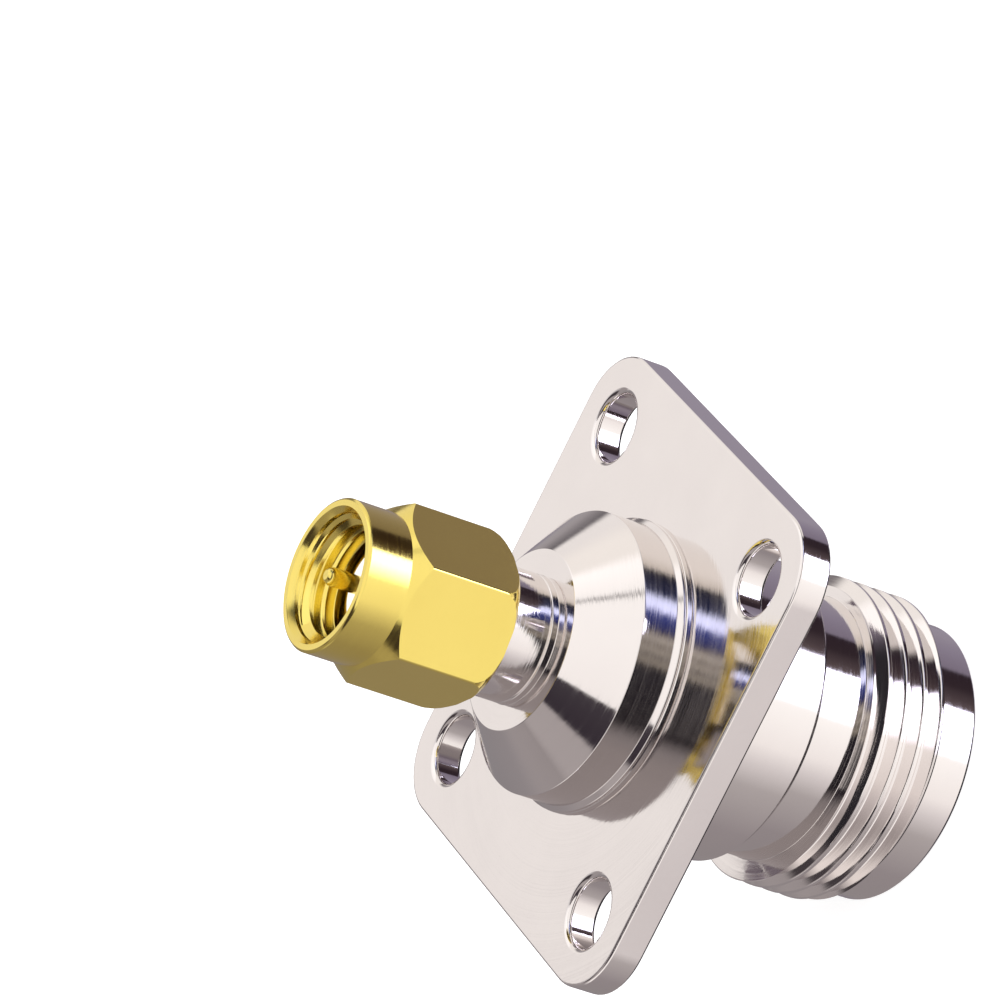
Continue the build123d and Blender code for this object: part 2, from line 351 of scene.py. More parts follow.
class Nodes:
    """Short ways to build a shader tree."""

    def __init__(self, tree: bpy.types.NodeTree) -> None:
        """Starts on an empty tree."""
        self.tree = tree
        tree.nodes.clear()

    def add(self, kind: str, **settings: object) -> bpy.types.Node:
        """Adds a node.

        Args:
            kind: the node's type.
            settings: its properties.

        Returns:
            The node.
        """
        node = self.tree.nodes.new(kind)
        for key, value in settings.items():
            setattr(node, key, value)
        return node

    def link(self, source: Socket, target: Socket) -> None:
        """Links an output to an input."""
        self.tree.links.new(source, target)

    def math(self, operation: str, first: object, second: object = None) -> Socket:
        """Adds a Math node.

        Args:
            operation: what it works out.
            first: a socket or a number.
            second: a socket or a number, where it takes two.

        Returns:
            The result's socket.
        """
        node = self.add("ShaderNodeMath", operation=operation)
        for socket, value in zip(node.inputs, (first, second)):
            self.feed(value, socket)
        return node.outputs[0]

    def feed(self, value: object, socket: Socket) -> None:
        """Links a socket, or sets a number, on an input; None leaves it alone.

        Args:
            value: a socket, a number or colour, or None.
            socket: the input.
        """
        if isinstance(value, Socket):
            self.link(value, socket)
        elif value is not None:
            socket.default_value = value

    def blend(self, share: object, first: object, second: object) -> Socket:
        """Mixes two colours.

        Args:
            share: how much of the second one shows.
            first: colour or socket.
            second: colour or socket.

        Returns:
            The mixed colour's socket.
        """
        node = self.add("ShaderNodeMix", data_type="RGBA")
        sockets = (node.inputs[0], node.inputs[6], node.inputs[7])
        for socket, value in zip(sockets, (share, first, second)):
            self.feed((*value, 1.0) if isinstance(value, tuple) and len(value) == 3 else value, socket)
        return node.outputs[2]

    def ramp(self, factor: Socket, stops: Sequence[tuple[float, Colour]]) -> Socket:
        """Adds a colour ramp.

        Args:
            factor: the socket that it reads.
            stops: position and colour of each stop, in order.

        Returns:
            The colour's socket.
        """
        node = self.add("ShaderNodeValToRGB")
        row = node.color_ramp.elements
        while len(row) < len(stops):
            row.new(1.0)
        for element, (place, colour) in zip(row, stops):
            element.position = place
            element.color = (*colour, 1.0)
        self.link(factor, node.inputs[0])
        return node.outputs[0]

    def fade(self, value: Socket, start: float, end: float) -> Socket:
        """Goes smoothly from 0 to 1 while a value goes from one limit to another.

        Args:
            value: the socket that it reads.
            start: the value where the fade starts.
            end: the value where it ends.

        Returns:
            The share's socket.
        """
        node = self.add("ShaderNodeMapRange", interpolation_type="SMOOTHSTEP")
        node.inputs["From Min"].default_value = start
        node.inputs["From Max"].default_value = end
        self.link(value, node.inputs["Value"])
        return node.outputs[0]

    def between(self, share: Socket, low: float, high: float) -> Socket:
        """Goes from one number to another while a share goes from 0 to 1.

        Args:
            share: the socket that it reads.
            low: the number at 0.
            high: the number at 1.

        Returns:
            The number's socket.
        """
        node = self.add("ShaderNodeMapRange")
        node.inputs["To Min"].default_value = low
        node.inputs["To Max"].default_value = high
        self.link(share, node.inputs["Value"])
        return node.outputs[0]

    def bump(self, height: Socket, depth: float, strength: float = 1.0, under: object = None) -> Socket:
        """Adds a fine relief.

        Args:
            height: the socket that it reads.
            depth: how deep the relief is, in millimetres.
            strength: how strongly it shows.
            under: the normal of a relief beneath it, if there is one.

        Returns:
            The normal's socket.
        """
        node = self.add("ShaderNodeBump")
        node.inputs["Strength"].default_value = strength
        node.inputs["Distance"].default_value = depth * MM
        self.link(height, node.inputs["Height"])
        self.feed(under, node.inputs["Normal"])
        return node.outputs[0]


def start_group(
    name: str, takes: Sequence[str], gives: Sequence[str]
) -> tuple[Nodes, bpy.types.Node, bpy.types.Node]:
    """Starts a shader group with named number sockets.

    Args:
        name: the group's name.
        takes: the names of its inputs.
        gives: the names of its outputs.

    Returns:
        Its tree, its input node and its output node.
    """
    tree = bpy.data.node_groups.new(name, "ShaderNodeTree")
    for sockets, way in ((takes, "INPUT"), (gives, "OUTPUT")):
        for socket in sockets:
            tree.interface.new_socket(socket, in_out=way, socket_type="NodeSocketFloat")
    n = Nodes(tree)
    return n, n.add("NodeGroupInput"), n.add("NodeGroupOutput")


def turning_marks() -> bpy.types.NodeTree:
    """Builds the group for the fine rings that a turning tool leaves.

    Returns:
        A group that reads Object coordinates and puts out a height and a mask.
    """
    n, inputs, outputs = start_group("turning marks", ("Rings per metre", "Wander"), ("Height", "Mask"))
    place = n.add("ShaderNodeTexCoord")
    split = n.add("ShaderNodeSeparateXYZ")
    n.link(place.outputs["Object"], split.inputs[0])
    x, y, z = split.outputs
    radius = n.math("SQRT", n.math("ADD", n.math("MULTIPLY", x, x), n.math("MULTIPLY", y, y)))
    rings = inputs.outputs["Rings per metre"]
    across, along = n.math("MULTIPLY", radius, rings), n.math("MULTIPLY", z, rings)
    turn = n.math("MULTIPLY", n.math("ARCTAN2", y, x), inputs.outputs["Wander"])
    spot = n.add("ShaderNodeCombineXYZ")
    for socket, value in zip(spot.inputs, (across, along, turn)):
        n.link(value, socket)
    grain = n.add("ShaderNodeTexNoise")
    grain.inputs["Scale"].default_value = 1.0
    grain.inputs["Detail"].default_value = 3.0
    grain.inputs["Roughness"].default_value = 0.6
    n.link(spot.outputs[0], grain.inputs["Vector"])
    n.link(grain.outputs["Fac"], outputs.inputs["Height"])
    n.link(n.fade(grain.outputs["Fac"], 0.35, 0.7), outputs.inputs["Mask"])
    return n.tree


def plating_cloud() -> bpy.types.NodeTree:
    """Builds the group for the faint cloudiness of a plated surface.

    Returns:
        A group that reads Object coordinates and puts out a soft mask and a fine orange-peel height.
    """
    n, inputs, outputs = start_group("plating cloud", ("Cloud scale", "Peel scale"), ("Mask", "Height"))
    place = n.add("ShaderNodeTexCoord")
    for scale, detail, result in (("Cloud scale", 4.0, "Mask"), ("Peel scale", 1.0, "Height")):
        cloud = n.add("ShaderNodeTexNoise")
        cloud.inputs["Detail"].default_value = detail
        n.link(place.outputs["Object"], cloud.inputs["Vector"])
        n.link(inputs.outputs[scale], cloud.inputs["Scale"])
        n.link(cloud.outputs["Fac"], outputs.inputs[result])
    return n.tree


class Effects:
    """The shared shader groups, each built once."""

    def __init__(self) -> None:
        """Builds the groups."""
        self.rings = turning_marks()
        self.cloud = plating_cloud()


def start_material(name: str) -> tuple[Material, Nodes, bpy.types.Node]:
    """Starts a material with one shader.

    Args:
        name: the material's name.

    Returns:
        The material, its tree and its shader.
    """
    material = bpy.data.materials.new(name)
    material.use_nodes = True
    n = Nodes(material.node_tree)
    shader = n.add("ShaderNodeBsdfPrincipled")
    result = n.add("ShaderNodeOutputMaterial")
    n.link(shader.outputs[0], result.inputs[0])
    return material, n, shader


@dataclass(frozen=True)
class PlatedMetal:
    """A plated metal finish, with turning marks under the plating and faint clouds in it."""

    name: str
    colour: Colour
    clouded: Colour
    roughness: float
    rougher: float
    rings_per_mm: float
    ring_depth: float
    peel_per_mm: float
    peel_depth: float
    clouds_per_mm: float = 0.25
    wander: float = 0.6

    def make(self, effects: Effects) -> Material:
        """Builds the material.

        Args:
            effects: the shared groups.

        Returns:
            The material.
        """
        material, n, shader = start_material(self.name)
        shader.inputs["Metallic"].default_value = 1.0
        cloud = n.add("ShaderNodeGroup", node_tree=effects.cloud)
        cloud.inputs["Cloud scale"].default_value = self.clouds_per_mm / MM
        cloud.inputs["Peel scale"].default_value = self.peel_per_mm / MM
        rings = n.add("ShaderNodeGroup", node_tree=effects.rings)
        rings.inputs["Rings per metre"].default_value = self.rings_per_mm / MM
        rings.inputs["Wander"].default_value = self.wander
        n.link(n.blend(cloud.outputs["Mask"], self.colour, self.clouded), shader.inputs["Base Color"])
        worn = n.between(rings.outputs["Mask"], self.roughness, self.rougher)
        n.link(worn, shader.inputs["Roughness"])
        peel = n.bump(cloud.outputs["Height"], self.peel_depth)
        turned = n.bump(rings.outputs["Height"], self.ring_depth, under=peel)
        n.link(turned, shader.inputs["Normal"])
        return material


@dataclass(frozen=True)
class SoftSolid:
    """A matt polymer or rubber finish with a faint mottle."""

    name: str
    colour: Colour
    mottled: Colour
    roughness: float
    grain_per_mm: float
    peel_per_grain: float = 8.0
    unevenness: float = 0.1
    grain_depth: float = 0.01
    grain_strength: float = 0.4

    def make(self, effects: Effects) -> Material:
        """Builds the material.

        Args:
            effects: the shared groups.

        Returns:
            The material.
        """
        material, n, shader = start_material(self.name)
        cloud = n.add("ShaderNodeGroup", node_tree=effects.cloud)
        cloud.inputs["Cloud scale"].default_value = self.grain_per_mm / MM
        cloud.inputs["Peel scale"].default_value = self.peel_per_grain * self.grain_per_mm / MM
        mask = cloud.outputs["Mask"]
        n.link(n.blend(mask, self.colour, self.mottled), shader.inputs["Base Color"])
        smoother, rougher = self.roughness - self.unevenness, self.roughness + self.unevenness
        n.link(n.between(mask, smoother, rougher), shader.inputs["Roughness"])
        grain = n.bump(cloud.outputs["Height"], self.grain_depth, self.grain_strength)
        n.link(grain, shader.inputs["Normal"])
        return material


NICKEL = PlatedMetal(
    "bright nickel", (0.86, 0.82, 0.80), (0.79, 0.75, 0.735), 0.05, 0.12, 9.0, 0.0018, 1.5, 0.0015
)
GOLD = PlatedMetal(
    "satin gold", (0.91, 0.74, 0.20), (0.85, 0.68, 0.17), 0.12, 0.2, 8.0, 0.0015, 4.0, 0.0015
)
CONTACT_GOLD = PlatedMetal(
    "contact gold", (0.95, 0.62, 0.2), (0.88, 0.5, 0.14), 0.14, 0.24, 12.0, 0.001, 6.0, 0.001
)
BRONZE = PlatedMetal(
    "spring bronze", (0.6, 0.36, 0.18), (0.5, 0.28, 0.13), 0.25, 0.35, 10.0, 0.001, 3.0, 0.001
)
WHITE_POLYMER = SoftSolid("white fluoropolymer", (0.86, 0.86, 0.84), (0.8, 0.8, 0.77), 0.5, 0.6)
RED_RUBBER = SoftSolid("gasket rubber", (0.42, 0.05, 0.03), (0.34, 0.04, 0.02), 0.7, 0.8)


@dataclass
class FlangeShell:
    """The square flange with its boss, barrel, relief, large thread, nose and stepped bore."""

    side: float = 25.4
    thick: float = 1.7
    corner: float = 3.3
    corner_strips: int = 14
    rim: float = 0.16
    hole: float = 1.75
    hole_rim: float = 0.28
    hole_pitch: float = 18.26
    boss: float = 7.42
    boss_top: float = 0.15
    barrel: float = 7.63
    barrel_foot: float = -8.15
    barrel_rim: float = 0.3
    relief: float = 6.75
    thread_top: float = -10.95
    crest: float = 7.87
    root: float = 7.27
    pitch: float = 25.4 / 24
    groove_start: float = -16.745
    thread_foot: float = -14.7175
    nose: float = 7.06
    nose_top: float = -15.3775
    nose_foot: float = -17.4275
    mouth: float = 4.55
    step: float = -13.5775
    step_bore: float = 4.05
    line_top: float = -8.33
    line_bore: float = 3.5
    bead_foot: float = -6.8
    bead_bore: float = 4.32
    spigot_foot: float = -3.2
    spigot_bore: float = 5.22
    edge: float = 0.05
    rim_strips: int = 3
    hole_sides: int = 72
    nose_edge: float = 0.2
    thread_edge: float = 0.06
    boss_edge: float = 0.04
    run_out: float = 0.55
    clear: float = 0.6
    mouth_lip: tuple[Point, ...] = ((0.85, -0.6), (0.25, 0.0), (0.08, 0.12), (0.0, 0.28))

    def plate(self) -> Piece:
        """Makes the square plate with rounded corners, broken edges and four countersunk holes.

        Returns:
            The plate.
        """
        Bench.clear_selection()
        bpy.ops.mesh.primitive_cube_add(size=1, location=(0, 0, -self.thick / 2))
        plate = bpy.context.object
        plate.scale = (self.side, self.side, self.thick)
        bpy.ops.object.transform_apply()
        Bench.bevel_picked(plate, runs_up, self.corner, self.corner_strips)
        Bench.bevel_picked(plate, runs_level, self.rim, self.rim_strips)
        # The rounded lip of a hole, in shares of its reach: out from the hole, and up from the face.
        bend = ((0.0, -1.0), (0.1, -0.6), (0.35, -0.28), (0.8, -0.06), (1.4, 0.08), (1.5, 1.0))
        lip = [(self.hole + self.hole_rim * out, self.hole_rim * rise) for out, rise in bend]
        outline = [*[(radius, -self.thick - height) for radius, height in reversed(lip)], *lip]
        drill = Bench.turn("drill", outline, sides=self.hole_sides)
        half = self.hole_pitch / 2
        for x, y in ((half, half), (-half, half), (-half, -half), (half, -half)):
            Bench.join(plate, Bench.copy(drill, (x, y, 0)), Join.CUT)
        bpy.data.objects.remove(drill)
        return plate

    def barrel_solid(self) -> Piece:
        """Makes the turned outside, from inside the plate down to the nose, with fine edges.

        Returns:
            The solid, before its thread and bore are cut.
        """
        outline = [
            (self.nose - self.nose_edge, self.nose_foot),
            (self.nose, self.nose_foot + self.nose_edge),
            (self.nose, self.nose_top),
            (self.crest, self.thread_foot),
            (self.crest, self.thread_top - self.thread_edge),
            (self.crest - self.thread_edge, self.thread_top),
            (self.relief, self.thread_top),
            (self.relief, self.barrel_foot),
            (self.barrel - self.barrel_rim, self.barrel_foot),
            (self.barrel, self.barrel_foot + self.barrel_rim),
            (self.barrel, -self.thick / 2),
        ]
        solid = Bench.turn("flange_shell", outline)
        Bench.soften(solid, self.edge)
        return solid

    def boss_solid(self) -> Piece:
        """Makes the low boss, from inside the plate up.

        Returns:
            The boss.
        """
        outline = [
            (self.boss, -self.thick / 2),
            (self.boss, self.boss_top - self.boss_edge),
            (self.boss - self.boss_edge, self.boss_top),
        ]
        return Bench.turn("boss", outline)

    def bore_tool(self) -> Piece:
        """Makes the tool for the stepped bore, with a broken edge at the mouth.

        Returns:
            The tool.
        """
        outline = [
            *[(self.mouth + out, self.nose_foot + up) for out, up in self.mouth_lip],
            (self.mouth, self.step),
            (self.step_bore, self.step),
            (self.step_bore, self.line_top),
            (self.line_bore, self.line_top),
            (self.line_bore, self.bead_foot),
            (self.bead_bore, self.bead_foot),
            (self.bead_bore, self.spigot_foot),
            (self.spigot_bore, self.spigot_foot),
            (self.spigot_bore, self.boss_top + self.clear),
        ]
        return Bench.turn("bore", outline)

    def thread_tool(self) -> Piece:
        """Makes the helical tool for the large right-hand thread, with a rounded root and crest.

        Returns:
            The tool.
        """
        half = self.pitch / 2
        # Round the groove's section: over its rounded root, up one flank to the crest, and back.
        tooth = [
            (self.root + 0.02, -0.1),
            (self.root, -0.05),
            (self.root, 0.05),
            (self.root + 0.02, 0.1),
            (self.crest - 0.05, half - 0.13),
            (self.crest - 0.015, half - 0.1),
            (self.crest + 0.03, half - 0.03),
            (self.crest + 0.03, 0.03 - half),
            (self.crest - 0.015, 0.1 - half),
            (self.crest - 0.05, 0.13 - half),
        ]
        section = [(radius, height + self.groove_start) for radius, height in tooth]
        turns = (self.thread_top + self.run_out - self.groove_start) / self.pitch
        return Bench.helix("thread tool", section, self.pitch, turns)

    def build(self, finish: Material) -> None:
        """Makes the shell in one piece and dresses it.

        Args:
            finish: the shell's material.
        """
        shell = self.barrel_solid()
        Bench.join(shell, self.thread_tool(), Join.CUT)
        Bench.join(shell, self.plate(), Join.ADD)
        Bench.join(shell, self.boss_solid(), Join.ADD)
        Bench.join(shell, self.bore_tool(), Join.CUT)
        shell.name = "flange_and_barrel"
        Bench.settle(shell, finish, "adapter_body", "nickel", "flange_shell")


@dataclass
class RearShell:
    """The turned shell between the flange and the nut: rim, drum, cone, flat shoulder and neck."""

    seat: float = 0.15
    rim: float = 7.40
    rim_top: float = 0.32
    drum: float = 7.15
    drum_foot: float = 0.54
    drum_top: float = 2.4
    cone_tip: float = 4.56
    shoulder: float = 4.7
    neck: float = 3.26
    neck_top: float = 7.3
    line: float = 5.1
    spigot: float = 5.2
    spigot_foot: float = -3.2
    bore: float = 2.07
    socket: float = 2.64
    socket_foot: float = 4.3
    edge: float = 0.05
    rim_edge: float = 0.04
    neck_edge: float = 0.05
    line_half: float = 0.06
    line_depth: float = 0.1

    def build(self, finish: Material) -> None:
        """Turns the shell as one ring and dresses it.

        Args:
            finish: the shell's material.
        """
        outline = [
            (self.bore, self.spigot_foot),
            (self.spigot, self.spigot_foot),
            (self.spigot, self.seat),
            (self.rim - self.rim_edge, self.seat),
            (self.rim, self.seat + self.rim_edge),
            (self.rim, self.rim_top),
            (self.drum, self.drum_foot),
            (self.drum, self.drum_top),
            (self.cone_tip, self.shoulder),
            (self.neck, self.shoulder),
            (self.neck, self.line - self.line_half),
            (self.neck - self.line_depth, self.line),
            (self.neck, self.line + self.line_half),
            (self.neck, self.neck_top - self.neck_edge),
            (self.neck - self.neck_edge, self.neck_top),
            (self.socket, self.neck_top),
            (self.socket, self.socket_foot),
            (self.bore, self.socket_foot),
        ]
        shell = Bench.turn("drum_and_neck", outline, ring=True)
        Bench.soften(shell, self.edge)
        Bench.settle(shell, finish, "adapter_body", "nickel", "rear_shell")


@dataclass
class CouplingNut:
    """The captive hexagon nut with its round collar, chamfers and inner thread."""

    across_flats: float = 8.0
    turned_by: float = 10.7
    rear: float = 7.5
    hex_top: float = 13.5
    front: float = 15.9
    collar: float = 3.85
    rear_edge: float = 4.05
    ridge: float = 0.09
    mouth: float = 3.42
    counterbore: float = 3.2
    minor: float = 2.82
    major: float = 3.175
    pitch: float = 25.4 / 36
    thread_top: float = 15.0
    thread_foot: float = 11.3
    cavity: float = 3.0
    lip_top: float = 10.2
    lip: float = 2.7
    groove: float = 3.08
    groove_foot: float = 8.83
    groove_top: float = 9.57
    ridge_strips: int = 3
    thread_sides: int = 128
    chamfer: tuple[Point, ...] = ((0.15, 0.5), (0.06, 0.8), (0.0, 1.15), (-0.1, 2.2))
    chamfer_end: float = 0.3
    clear: float = 0.1
    overlap: float = 0.05
    front_lip: tuple[Point, ...] = ((0.0, 0.13), (0.05, 0.05), (0.13, 0.0))
    rear_lip: tuple[Point, ...] = ((0.3, -0.2), (0.0, 0.1))
    mouth_lip: tuple[Point, ...] = ((-0.12, -0.16), (0.0, -0.02), (0.2, 0.3))
    mouth_depth: float = 0.3

    def hexagon(self) -> Piece:
        """Makes the hexagon with softened ridges, cut back by turned chamfers at both ends.

        Returns:
            The hexagon's solid.
        """
        corner = self.across_flats / 2 / cos(pi / 6)
        Bench.clear_selection()
        bpy.ops.mesh.primitive_cylinder_add(
            vertices=6, radius=corner, depth=self.hex_top - self.rear + 2 * self.clear,
            location=(0, 0, (self.hex_top + self.rear) / 2),
        )
        prism = bpy.context.object
        prism.name = "coupling_nut"
        bpy.ops.object.transform_apply()
        Bench.bevel_picked(prism, runs_up, self.ridge, self.ridge_strips)
        prism.rotation_euler = (0, 0, radians(self.turned_by + 30))
        bpy.ops.object.transform_apply()
        rise = corner - self.collar + self.overlap
        outline = [
            (self.rear_edge, self.rear),
            (corner - self.chamfer_end, self.rear + corner - self.chamfer_end - self.rear_edge),
            *[(corner - inward, self.rear + up) for inward, up in self.chamfer],
            (corner + self.clear, self.hex_top - rise - self.overlap),
            (self.collar - self.overlap, self.hex_top + self.overlap),
        ]
        Bench.join(prism, Bench.turn("chamfers", outline), Join.KEEP_COMMON)
        return prism

    def bore_tool(self) -> Piece:
        """Makes the tool for the stepped bore, from behind the nut to its mouth.

        Returns:
            The tool.
        """
        outline = [
            *[(self.lip + out, self.rear + up) for out, up in self.rear_lip],
            (self.lip, self.groove_foot),
            (self.groove, self.groove_foot),
            (self.groove, self.groove_top),
            (self.lip, self.groove_top),
            (self.lip, self.lip_top),
            (self.cavity, self.lip_top),
            (self.cavity, self.thread_foot),
            (self.minor, self.thread_foot),
            (self.minor, self.thread_top),
            (self.counterbore, self.thread_top + self.counterbore - self.minor),
            (self.counterbore, self.front - self.mouth_depth),
            *[(self.mouth + out, self.front + up) for out, up in self.mouth_lip],
        ]
        return Bench.turn("nut bore", outline)

    def thread_tool(self) -> Piece:
        """Makes the helical tool for the small right-hand thread inside the nut.

        Returns:
            The tool.
        """
        foot = self.thread_foot - 0.2
        # Round the groove's section: up its open side inside the bore, then over its narrow root.
        section = [
            (self.minor - 0.03, foot - 0.29),
            (self.minor - 0.03, foot + 0.29),
            (self.minor + 0.03, foot + 0.24),
            (self.major, foot + 0.04),
            (self.major, foot - 0.04),
            (self.minor + 0.03, foot - 0.24),
        ]
        turns = (self.thread_top + 0.3 - foot) / self.pitch
        return Bench.helix("nut thread", section, self.pitch, turns, self.thread_sides)

    def build(self, finish: Material) -> None:
        """Makes the nut in one piece and dresses it.

        Args:
            finish: the nut's material.
        """
        nut = self.hexagon()
        lip = [(self.collar - inward, self.front - down) for inward, down in self.front_lip]
        Bench.join(nut, Bench.turn("collar", [(self.collar, self.hex_top - 1.5), *lip]), Join.ADD)
        Bench.join(nut, self.bore_tool(), Join.CUT)
        Bench.join(nut, self.thread_tool(), Join.CUT)
        nut.name = "hexagon_nut"
        Bench.settle(nut, finish, "nut", "gold", "coupling_nut")


@dataclass
class CentreLine:
    """The contacts and insulators on the axis, from the small pin to the large slotted socket."""

    plug_face: float = 13.4
    seat: float = 10.4
    tail: float = 4.3
    ferrule_bore: float = 2.07
    ferrule_tip: float = 2.28
    ferrule_body: float = 2.62
    ring_foot: float = 8.93
    ring_top: float = 9.47
    ring_floor: float = 2.25
    pin: float = 0.46
    pin_tip: float = 15.9
    shank: float = 0.64
    conductor_foot: float = -5.5
    conductor_tail: float = 0.45
    bead_top: float = -3.2
    contact: float = 1.52
    contact_tip: float = -13.3775
    contact_hole: float = 0.85
    contact_hole_top: float = -9.1775
    contact_head: float = 1.95
    contact_head_foot: float = -5.6
    slots: int = 4
    slot_width: float = 0.32
    slot_depth: float = 3.6
    bead: float = 4.3
    bead_foot: float = -6.8
    boss: float = 3.48
    boss_foot: float = -8.33
    fit: float = 0.02
    edge: float = 0.04
    tube_edge: float = 0.02
    pin_edge: float = 0.03
    tip_edge: float = 0.08
    finger_edge: float = 0.12
    pin_back: float = 0.1
    pin_round: tuple[Point, ...] = ((0.0, 0.32), (0.07, 0.12), (0.2, 0.0))
    hole_lip: tuple[Point, ...] = ((0.5, -0.3), (0.2, 0.0), (0.0, 0.2))
    clear: float = 0.3

    def ferrule(self, finish: Material) -> None:
        """Turns the outer contact tube of the plug.

        Args:
            finish: its material.
        """
        outline = [
            (self.ferrule_bore, self.tail),
            (self.ferrule_body, self.tail),
            (self.ferrule_body, self.ring_foot),
            (self.ring_floor, self.ring_foot),
            (self.ring_floor, self.ring_top),
            (self.ferrule_body, self.ring_top),
            (self.ferrule_body, self.seat),
            (self.ferrule_tip, self.seat),
            (self.ferrule_tip, self.plug_face - self.tip_edge),
            (self.ferrule_tip - self.tip_edge, self.plug_face),
            (self.ferrule_bore, self.plug_face),
        ]
        tube = Bench.turn("plug_ferrule", outline, ring=True, sides=SLIM_SIDES)
        Bench.soften(tube, self.tube_edge)
        Bench.settle(tube, finish, "adapter_body", "gold", "sma_ferrule")

    def conductor(self, finish: Material) -> None:
        """Turns the centre conductor, with its slim pin and rounded tip.

        Args:
            finish: its material.
        """
        outline = [
            (self.conductor_tail, self.conductor_foot),
            (self.conductor_tail, self.bead_top),
            (self.shank, self.bead_top),
            (self.shank, self.plug_face - self.pin_back),
            (self.pin, self.plug_face - self.pin_back),
            *[(self.pin - inward, self.pin_tip - down) for inward, down in self.pin_round],
        ]
        rod = Bench.turn("centre_pin", outline, sides=PIN_SIDES)
        Bench.soften(rod, self.pin_edge)
        Bench.settle(rod, finish, "adapter_body", "gold", "sma_pin")

    def socket(self, finish: Material) -> None:
        """Turns the large socket contact, drills it and saws its slots.

        Args:
            finish: its material.
        """
        outline = [
            (self.contact - self.finger_edge, self.contact_tip),
            (self.contact, self.contact_tip + self.finger_edge),
            (self.contact, self.contact_head_foot),
            (self.contact_head, self.contact_head_foot),
            (self.contact_head, self.bead_top),
        ]
        tube = Bench.turn("socket_fingers", outline, sides=SLIM_SIDES)
        Bench.soften(tube, self.edge)
        drill = [
            *[(self.contact_hole + out, self.contact_tip + up) for out, up in self.hole_lip],
            (self.contact_hole, self.contact_hole_top),
        ]
        Bench.join(tube, Bench.turn("drill", drill, sides=SLIM_SIDES), Join.CUT)
        tail = [
            (self.conductor_tail + self.fit, self.conductor_foot),
            (self.conductor_tail + self.fit, self.bead_top + self.clear),
        ]
        Bench.join(tube, Bench.turn("drill", tail, sides=PIN_SIDES), Join.CUT)
        for cut in range(self.slots // 2):
            Bench.clear_selection()
            bpy.ops.mesh.primitive_cube_add(size=1, location=(0, 0, self.contact_tip))
            saw = bpy.context.object
            saw.scale = (4 * self.contact, self.slot_width, 2 * self.slot_depth)
            saw.rotation_euler = (0, 0, tau * cut / self.slots)
            bpy.ops.object.transform_apply()
            Bench.join(tube, saw, Join.CUT)
        Bench.settle(tube, finish, "adapter_body", "gold", "socket_contact")

    def insulators(self, finish: Material) -> None:
        """Turns the two white insulators.

        Args:
            finish: their material.
        """
        sleeve = [
            (self.shank + self.fit, self.bead_top),
            (self.ferrule_bore - self.fit, self.bead_top),
            (self.ferrule_bore - self.fit, self.plug_face),
            (self.shank + self.fit, self.plug_face),
        ]
        bead = [
            (self.contact + self.fit, self.boss_foot),
            (self.boss, self.boss_foot),
            (self.boss, self.bead_foot),
            (self.bead, self.bead_foot),
            (self.bead, self.bead_top),
            (self.contact_head + self.fit, self.bead_top),
            (self.contact_head + self.fit, self.contact_head_foot),
            (self.contact + self.fit, self.contact_head_foot),
        ]
        for name, outline, node in (
            ("plug_insulator", sleeve, "sma_insulator"),
            ("socket_bead", bead, "socket_insulator"),
        ):
            piece = Bench.turn(name, outline, ring=True, sides=SLIM_SIDES)
            Bench.soften(piece, self.edge)
            Bench.settle(piece, finish, "adapter_body", "insulator", node)

    def build(self, gold: Material, contact: Material, white: Material) -> None:
        """Makes the pieces on the axis.

        Args:
            gold: finish of the ferrule and the pin.
            contact: finish of the large socket.
            white: finish of the insulators.
        """
        self.ferrule(gold)
        self.conductor(gold)
        self.socket(contact)
        self.insulators(white)


@dataclass(frozen=True)
class Belt:
    """One belt of the light all round, coloured by the bearing from the viewer in degrees.

    A belt that leans has its stops further round, by so many degrees for each unit of height.
    """

    stops: tuple[tuple[float, Colour], ...]
    lean: float = 0.0
    upright_at: float = 0.0

    def paint(self, n: Nodes, bearing: Socket, height: Socket) -> Socket:
        """Builds the belt's colour.

        Args:
            n: the world's tree.
            bearing: the direction's bearing in degrees, 0 towards the viewer.
            height: the direction's height, from -1 straight down to 1 straight up.

        Returns:
            The colour's socket.
        """
        shift = n.math("MULTIPLY", n.math("SUBTRACT", height, self.upright_at), self.lean)
        share = n.math("ADD", n.math("DIVIDE", n.math("ADD", bearing, shift), 360.0), 0.5)
        return n.ramp(share, [(angle / 360 + 0.5, colour) for angle, colour in self.stops])


LOW_BELT = Belt((
    (-180, (0.2, 0.17, 0.21)), (-150, (0.3, 0.27, 0.275)), (-95, (0.33, 0.295, 0.305)),
    (-50, (0.48, 0.44, 0.44)), (-31, (0.78, 0.73, 0.73)), (-16, (1.05, 1.0, 0.98)),
    (18, (1.2, 1.17, 1.15)), (44, (4.8, 4.8, 6.0)), (59, (4.8, 4.8, 6.0)),
    (62, (0.13, 0.095, 0.1)), (69, (0.08, 0.058, 0.064)), (81, (0.035, 0.023, 0.029)),
    (95, (0.03, 0.019, 0.026)), (98, (0.23, 0.195, 0.26)), (120, (0.28, 0.245, 0.32)),
    (141, (0.33, 0.295, 0.36)), (158, (0.33, 0.295, 0.36)), (180, (0.2, 0.17, 0.21)),
))
LEVEL_BELT = Belt((
    (-180, (0.26, 0.24, 0.25)), (-116, (0.34, 0.31, 0.32)), (-100, (1.1, 1.05, 1.03)),
    (-40, (1.15, 1.1, 1.08)), (0, (1.1, 1.05, 1.03)), (50, (1.2, 1.17, 1.15)),
    (56, (0.06, 0.04, 0.05)), (84, (0.03, 0.02, 0.03)), (90, (0.9, 0.86, 0.84)),
    (147, (0.97, 0.93, 0.91)), (151, (0.17, 0.155, 0.165)), (162, (0.36, 0.33, 0.34)),
    (180, (0.42, 0.39, 0.4)),
))
